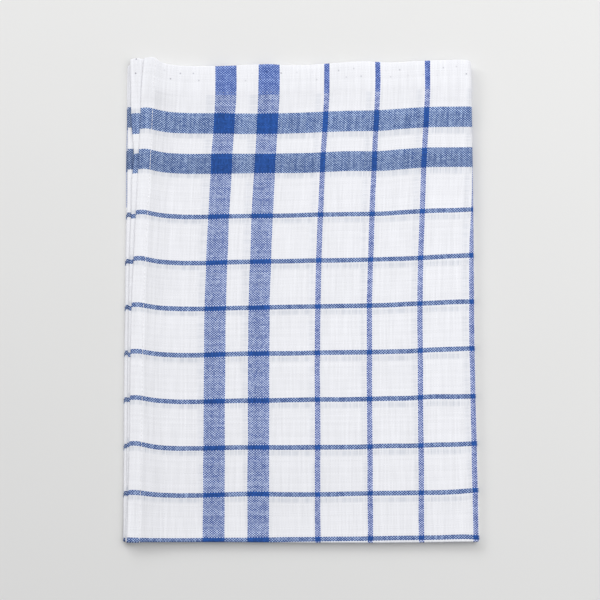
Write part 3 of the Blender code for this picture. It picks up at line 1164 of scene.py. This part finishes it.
def hem_place(tree, s, t):
    """1 in the end hems and 1 in the side hems, and how far off the towel's edges are."""
    from_end = calc(tree, "MINIMUM", t, minus(tree, SHEET_LENGTH, t))
    from_side = calc(tree, "MINIMUM", s, minus(tree, SHEET_WIDTH, s))
    in_end = soft_fall(tree, from_end, END_HEM - HEM_STEP, END_HEM + HEM_STEP)
    in_side = soft_fall(tree, from_side, SIDE_HEM - HEM_STEP, SIDE_HEM + HEM_STEP)
    return HemPlace(in_end, in_side, from_end, from_side)


def pin_spot(tree, across, down):
    squares = plus(tree, calc(tree, "POWER", across, 2.0), calc(tree, "POWER", down, 2.0))
    return soft_fall(tree, calc(tree, "SQRT", squares), 0.0, PIN_RADIUS)


def pin_marks(tree, s, t, from_end):
    """Two staggered rows of faint marks in each end hem, and the corner's darker ones."""
    marks = 0.0
    for pin_s, pin_t in CORNER_PINS:
        spot = pin_spot(tree, minus(tree, s, pin_s), minus(tree, t, pin_t))
        marks = larger(tree, marks, spot)
    for number, row in enumerate(PIN_ROWS):
        steps = times_plus(tree, s, 1 / PIN_PITCH, 0.5 * number)
        cell = calc(tree, "FLOOR", steps)
        aside = minus(tree, minus(tree, steps, cell), 0.5)
        wander = times_plus(tree, chance(tree, cell, PIN_ASIDE_SEED + number), PIN_WANDER, -PIN_WANDER / 2)
        across = times(tree, minus(tree, aside, wander), PIN_PITCH)
        shift = times_plus(tree, chance(tree, cell, PIN_SHIFT_SEED + number), PIN_SHIFT, row - PIN_SHIFT / 2)
        spot = pin_spot(tree, across, minus(tree, from_end, shift))
        strength = calc(tree, "POWER", chance(tree, cell, PIN_STRENGTH_SEED + number), PIN_CONTRAST)
        marks = larger(tree, marks, times(tree, spot, strength))
    return marks


def edge_yarn(tree, warp_centre, t):
    """The last warp of the far side hem, where it is blue."""
    past_start = calc(tree, "GREATER_THAN", t, EDGE_YARN_FROM)
    before_end = calc(tree, "LESS_THAN", t, EDGE_YARN_TO)
    last = times(tree, calc(tree, "GREATER_THAN", warp_centre, EDGE_YARN), EDGE_YARN_BLUE)
    return times(tree, last, times(tree, past_start, before_end))


def line_tone(tree, s, hems):
    """How much paler the blue wefts are here, or darker with painted shade in the far side hem."""
    at_end = soft_step(tree, hems.from_end, *END_LINE_REACH, END_LINE_TONE, 1.0)
    in_far_hem = times(tree, hems.in_side, calc(tree, "GREATER_THAN", s, SHEET_WIDTH / 2))
    return times(tree, at_end, mix_numbers(tree, in_far_hem, 1.0, FAR_HEM_SHADE))


def woven_colour(tree, group, s, t, weave, hems):
    """The colour of the yarn on top, tinted where blue and white yarns cross, with painted shade in the pits
    and on the blue yarns between white ones.
    """
    warp_blue, warp_narrow = stripes(tree, group, weave.warps.centre, STRIPES_ACROSS, CRISP)
    weft_blue, weft_narrow = stripes(tree, group, weave.wefts.centre, STRIPES_ALONG, CRISP)
    warp_blue = larger(tree, warp_blue, edge_yarn(tree, weave.warps.centre, t))
    warp = yarn_colour(tree, weave.warps.index, t, warp_blue, BLUE_WARP, WARP_SEED)
    weft = yarn_colour(tree, weave.wefts.index, s, weft_blue, BLUE_WEFT, WEFT_SEED)
    only_weft = times(tree, weft_blue, rest(tree, warp_blue))
    only_warp = times(tree, warp_blue, rest(tree, weft_blue))
    warp_on_top = warp_share(tree, weave, s, t, only_warp, only_weft, hems.in_end)
    colour = mix_colours(tree, warp_on_top, weft, warp)

    # Painted shade in the pits between the yarns, and the blue squares' uneven crossings.
    both_blue = times(tree, warp_blue, weft_blue)
    pit_shade = times(tree, rest(tree, weave.crown), mix_numbers(tree, both_blue, *PIT_SHADE))
    cell = chance(tree, weave.warps.index, plus(tree, weave.wefts.index, 0.5))
    cell_tone = times(tree, minus(tree, cell, 0.5), BLUE_CELL_VARIETY)
    cell_tone = times_plus(tree, cell_tone, both_blue, 1.0)
    colour = scale_vector(tree, colour, minus(tree, cell_tone, pit_shade))

    # Where blue and white yarns cross: the white dots, and the blue yarns with painted shade between them.
    white_on_top = mix_numbers(tree, only_warp, warp_on_top, rest(tree, warp_on_top))
    dots = mix_colours(tree, only_warp, WHITE_AMONG_WEFTS, WHITE_AMONG_WARPS)
    dots = mix_colours(tree, times(tree, only_warp, hems.in_end), dots, WHITE_IN_HEM)
    shaded_blue = mix_colours(tree, only_warp, SHADED_BLUE_WEFT, SHADED_BLUE_WARP)
    crossed = mix_colours(tree, white_on_top, shaded_blue, dots)
    crossed = mix_colours(tree, warp_narrow, crossed, NARROW_WARP_TINT, "MULTIPLY")
    crossed = mix_colours(tree, weft_narrow, crossed, NARROW_WEFT_TINT, "MULTIPLY")
    colour = mix_colours(tree, plus(tree, only_warp, only_weft), colour, crossed)
    return scale_vector(tree, colour, mix_numbers(tree, weft_blue, 1.0, line_tone(tree, s, hems)))


def show_through(tree, group, colour, weave, in_end):
    """Adds the faint stripes and lines of the next layers, but not in the dense end hems."""
    past_warps = mix_numbers(tree, chance(tree, weave.warps.index, PAST_WARPS_SEED), *SHOW_THROUGH_VARIETY)
    past_wefts = mix_numbers(tree, chance(tree, weave.wefts.index, PAST_WEFTS_SEED), *SHOW_THROUGH_VARIETY)
    for layer in SHOW_THROUGH:
        layer_s, layer_t = read_place(tree, layer.place)
        behind_stripe = stripes(tree, group, layer_s, STRIPES_ACROSS, STRIPE_SOFTNESS)[0]
        behind_line = stripes(tree, group, layer_t, STRIPES_ALONG, LINE_SOFTNESS)[0]
        behind_stripe = times(tree, times(tree, behind_stripe, past_wefts), layer.stripes)
        behind_line = times(tree, times(tree, behind_line, past_warps), layer.lines)
        hidden = larger(tree, behind_stripe, behind_line)
        hidden = times(tree, hidden, rest(tree, in_end))
        colour = mix_colours(tree, hidden, colour, SHOW_THROUGH_COLOUR, "MULTIPLY")
    return colour


def cloth_tone(tree, s, t, hems, patches):
    """Streaks and patches, the denser hems, and painted shade beside the side hems, near their ends and at
    the towel's ends.
    """
    streaks = noise(tree, times(tree, s, STREAK_STEPS[0]), times(tree, t, STREAK_STEPS[1]))
    # Painted shade on the single cloth just beside a side hem.
    off_hem = calc(tree, "DIVIDE", minus(tree, hems.from_side, SIDE_HEM), BESIDE_HEM_REACH)
    beside_hem_shade = calc(tree, "SUBTRACT", 1.0, off_hem, clamp=True)
    for mask in (hems.in_side, hems.in_end):
        beside_hem_shade = times(tree, beside_hem_shade, rest(tree, mask))
    # Painted shade near the corners, just inside the side edges.
    off_edge = soft_step(tree, hems.from_side, *CORNER_ACROSS[0])
    near_side = soft_fall(tree, hems.from_side, *CORNER_ACROSS[1])
    near_end = soft_fall(tree, hems.from_end, *CORNER_REACH)
    corner = times(tree, times(tree, off_edge, near_side), near_end)
    # Painted shade along the very ends, where the end folds turn away.
    end_edge_shade = soft_fall(tree, hems.from_end, *END_EDGE_REACH)
    tone = plus(tree, soft_step(tree, hems.from_end, *ENDS_REACH, ENDS_TONE, MIDDLE_TONE), PLAIN_TONE)
    for mask, amount in (
        (streaks, STREAK_TONE),
        (patches, PATCH_TONE),
        (hems.in_side, SIDE_HEM_TONE),
        (hems.in_end, END_HEM_TONE),
        (beside_hem_shade, BESIDE_HEM_SHADE),
        (corner, CORNER_SHADE),
        (end_edge_shade, END_EDGE_SHADE),
    ):
        tone = times_plus(tree, mask, amount, tone)
    return tone


def make_cotton():
    """Plain weave of white and blue yarns, matt and slightly rough."""
    material, tree, shader = start_material(COTTON_SLOT, COTTON_FINISH)
    group = make_stripe_group()
    s, t = read_place(tree, "flat_place")
    weave = plain_weave(tree, s, t)
    hems = hem_place(tree, s, t)
    patches = noise(tree, times(tree, s, PATCH_STEPS), times(tree, t, PATCH_STEPS), PATCH_DETAIL)
    colour = woven_colour(tree, group, s, t, weave, hems)
    colour = show_through(tree, group, colour, weave, hems.in_end)
    colour = mix_colours(tree, pin_marks(tree, s, t, hems.from_end), colour, PIN_COLOUR, "MULTIPLY")
    colour = scale_vector(tree, colour, cloth_tone(tree, s, t, hems, patches))
    feed(tree, shader.inputs["Base Color"], colour)
    rough = times_plus(tree, patches, COTTON_ROUGH_PATCHES, COTTON_ROUGHNESS)
    feed(tree, shader.inputs["Roughness"], rough)
    add_bump(tree, shader, weave.crown, *COTTON_BUMP)
    return material


# ---- The hem stitches ---------------------------------------------------------------------


def seam_places():
    """The flat places of all the stitches, and whether each seam runs along the towel."""
    places = []
    for seam in (SIDE_SEAM, SHEET_WIDTH - SIDE_SEAM):
        for t in np.arange(SEAM_MARGIN, SHEET_LENGTH - SEAM_MARGIN, STITCH_PITCH):
            places.append((seam, t, True))
    for seam in (END_SEAM, SHEET_LENGTH - END_SEAM):
        for s in np.arange(SEAM_MARGIN, SHEET_WIDTH - SEAM_MARGIN, STITCH_PITCH):
            places.append((s, seam, False))
    return places


def make_stitch_points():
    """A mesh of points, one for each stitch, with the way it runs and the way out of the cloth."""
    s, t, lengthwise = (np.array(column) for column in zip(*seam_places()))
    points, runs, outs = [], [], []
    for face in (True, False):
        place, across, along, out = cloth_side(s, t, face)
        place[:, 2] = np.maximum(place[:, 2], STITCH_LIFT)
        points.append(place)
        runs.append(np.where(lengthwise[:, None], along, across))
        outs.append(out)
    mesh = bpy.data.meshes.new("stitch_points")
    mesh.from_pydata(np.concatenate(points).tolist(), [], [])
    store(mesh, "run", np.concatenate(runs))
    store(mesh, "out", np.concatenate(outs))
    gauge = np.tile(np.where(lengthwise, SIDE_STITCH, END_STITCH), 2)
    store(mesh, "gauge", gauge, kind="FLOAT", field="value")
    return mesh


def named_value(tree, name, data_type="FLOAT_VECTOR"):
    node = add_node(tree, "GeometryNodeInputNamedAttribute", {"Name": name}, data_type=data_type)
    return node.outputs["Attribute"]


def align(tree, axis, inputs, pivot="AUTO"):
    kind = "FunctionNodeAlignRotationToVector"
    return add_node(tree, kind, inputs, axis=axis, pivot_axis=pivot).outputs["Rotation"]


def make_stitch(tree, length, radius):
    """A short arch of thread, whose ends dip into the cloth."""

    def point(share_of_length, share_of_radius):
        place = {"X": times(tree, length, share_of_length), "Z": times(tree, radius, share_of_radius)}
        return add_node(tree, "ShaderNodeCombineXYZ", place).outputs[0]

    arch = add_node(tree, "GeometryNodeCurveQuadraticBezier", {
        "Resolution": STITCH_STEPS,
        "Start": point(-0.5, STITCH_DIP),
        "Middle": point(0.0, STITCH_CROWN),
        "End": point(0.5, STITCH_DIP),
    })
    ring = add_node(tree, "GeometryNodeCurvePrimitiveCircle", {"Resolution": THREAD_SIDES, "Radius": radius})
    thread = add_node(tree, "GeometryNodeCurveToMesh", {
        "Curve": arch.outputs["Curve"],
        "Profile Curve": ring.outputs["Curve"],
        "Fill Caps": True,
    })
    return thread.outputs["Mesh"]


def make_stitch_tree():
    """Lays a stitch at every point, along its run, a little uneven in size."""
    tree = bpy.data.node_groups.new("hem_stitches", "GeometryNodeTree")
    for name, kind in STITCH_INPUTS:
        tree.interface.new_socket(name, in_out="INPUT", socket_type="NodeSocket" + kind)
    tree.interface.new_socket("Geometry", in_out="OUTPUT", socket_type="NodeSocketGeometry")
    given = tree.nodes.new("NodeGroupInput").outputs
    stitch = make_stitch(tree, given["Stitch Length"], given["Thread Radius"])
    run = align(tree, "X", {"Vector": named_value(tree, "run")})
    upright = align(tree, "Z", {"Rotation": run, "Vector": named_value(tree, "out")}, pivot="X")
    size = add_node(
        tree,
        "FunctionNodeRandomValue",
        {"Min": STITCH_SMALLEST, "Max": STITCH_LARGEST, "Seed": given["Seed"]},
        data_type="FLOAT_VECTOR",
    )
    laid = add_node(tree, "GeometryNodeInstanceOnPoints", {
        "Points": given["Geometry"],
        "Instance": stitch,
        "Rotation": upright,
        "Scale": scale_vector(tree, size.outputs["Value"], named_value(tree, "gauge", "FLOAT")),
    })
    real = add_node(tree, "GeometryNodeRealizeInstances", {"Geometry": laid.outputs["Instances"]})
    coat = add_node(tree, "GeometryNodeSetMaterial", {
        "Geometry": real.outputs["Geometry"],
        "Material": given["Material"],
    })
    add_node(tree, "NodeGroupOutput", {"Geometry": coat.outputs["Geometry"]})
    return tree


def run_tree(name, mesh, tree, settings):
    """Runs a geometry tree on a mesh, and returns its result as a plain mesh object."""
    source = add_object(name + "_source", mesh)
    modifier = source.modifiers.new(name, "NODES")
    modifier.node_group = tree
    for item in tree.interface.items_tree:
        if item.in_out == "INPUT" and item.name in settings:
            modifier[item.identifier] = settings[item.name]
    evaluated = source.evaluated_get(bpy.context.evaluated_depsgraph_get())
    made = bpy.data.meshes.new_from_object(evaluated)
    made.name = name
    bpy.data.objects.remove(source, do_unlink=True)
    return add_object(name, made)


def make_thread():
    """White thread with a fine twist."""
    material, tree, shader = start_material("hem_thread", THREAD_FINISH)
    twist = object_noise(tree, THREAD_TWIST)
    feed(tree, shader.inputs["Base Color"], mix_colours(tree, twist, THREAD_LOW, THREAD_HIGH))
    add_bump(tree, shader, twist, *THREAD_BUMP)
    return material


def make_stitches():
    """All the hems' stitches, as one plain mesh."""
    stitches = run_tree("hem_stitches", make_stitch_points(), make_stitch_tree(), {
        "Stitch Length": STITCH_LENGTH,
        "Thread Radius": THREAD_RADIUS,
        "Seed": STITCH_SEED,
        "Material": make_thread(),
    })
    stitches.data.shade_smooth()
    return stitches


# ---- The floor, the light and the camera --------------------------------------------------


def make_floor():
    """The pale floor, which is only a stage for the towel."""
    mesh = bpy.data.meshes.new("floor")
    reach = FLOOR_REACH
    corners = [(-reach, -reach, 0.0), (reach, -reach, 0.0), (reach, reach, 0.0), (-reach, reach, 0.0)]
    mesh.from_pydata(corners, [], [(0, 1, 2, 3)])
    material, tree, shader = start_material("pale_floor", FLOOR_FINISH)
    mottle = object_noise(tree, FLOOR_MOTTLE)
    feed(tree, shader.inputs["Base Color"], mix_colours(tree, mottle, FLOOR_LOW, FLOOR_HIGH))
    mesh.materials.append(material)
    return add_object("floor", mesh)


def add_area_light(light):
    """A soft square light that faces the towel."""
    data = bpy.data.lights.new(light.name, "AREA")
    data.size = light.size
    data.energy = light.power
    lamp = add_object(light.name, data)
    lamp.location = light.place
    lamp.rotation_euler = (-Vector(light.place)).to_track_quat("-Z", "Y").to_euler()


def light_scene():
    world = bpy.data.worlds.new("studio")
    bpy.context.scene.world = world
    world.use_nodes = True
    background = world.node_tree.nodes["Background"]
    background.inputs["Color"].default_value = WORLD_COLOUR
    background.inputs["Strength"].default_value = WORLD_STRENGTH
    for light in LIGHTS:
        add_area_light(light)


def add_camera():
    data = bpy.data.cameras.new("camera")
    data.sensor_width = SENSOR
    data.lens = SENSOR * CAMERA_DISTANCE / CAMERA_FIELD
    camera = add_object("camera", data)
    back = Vector((0.0, -math.cos(CAMERA_ELEVATION), math.sin(CAMERA_ELEVATION)))
    camera.location = CAMERA_TARGET + CAMERA_DISTANCE * back
    camera.rotation_euler = (math.pi / 2 - CAMERA_ELEVATION, 0.0, 0.0)
    bpy.context.scene.camera = camera


def main():
    bpy.context.scene.view_settings.view_transform = "Standard"
    # The noise is cleaned without a cleaned guide, so that the fine weave stays.
    bpy.context.scene.cycles.denoising_prefilter = "NONE"
    cloth = make_cloth()
    stitches = make_stitches()
    floor = make_floor()
    for piece in (cloth, stitches):
        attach(piece, "root")
    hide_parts(TOWEL_NODE)
    light_scene()
    add_camera()


main()
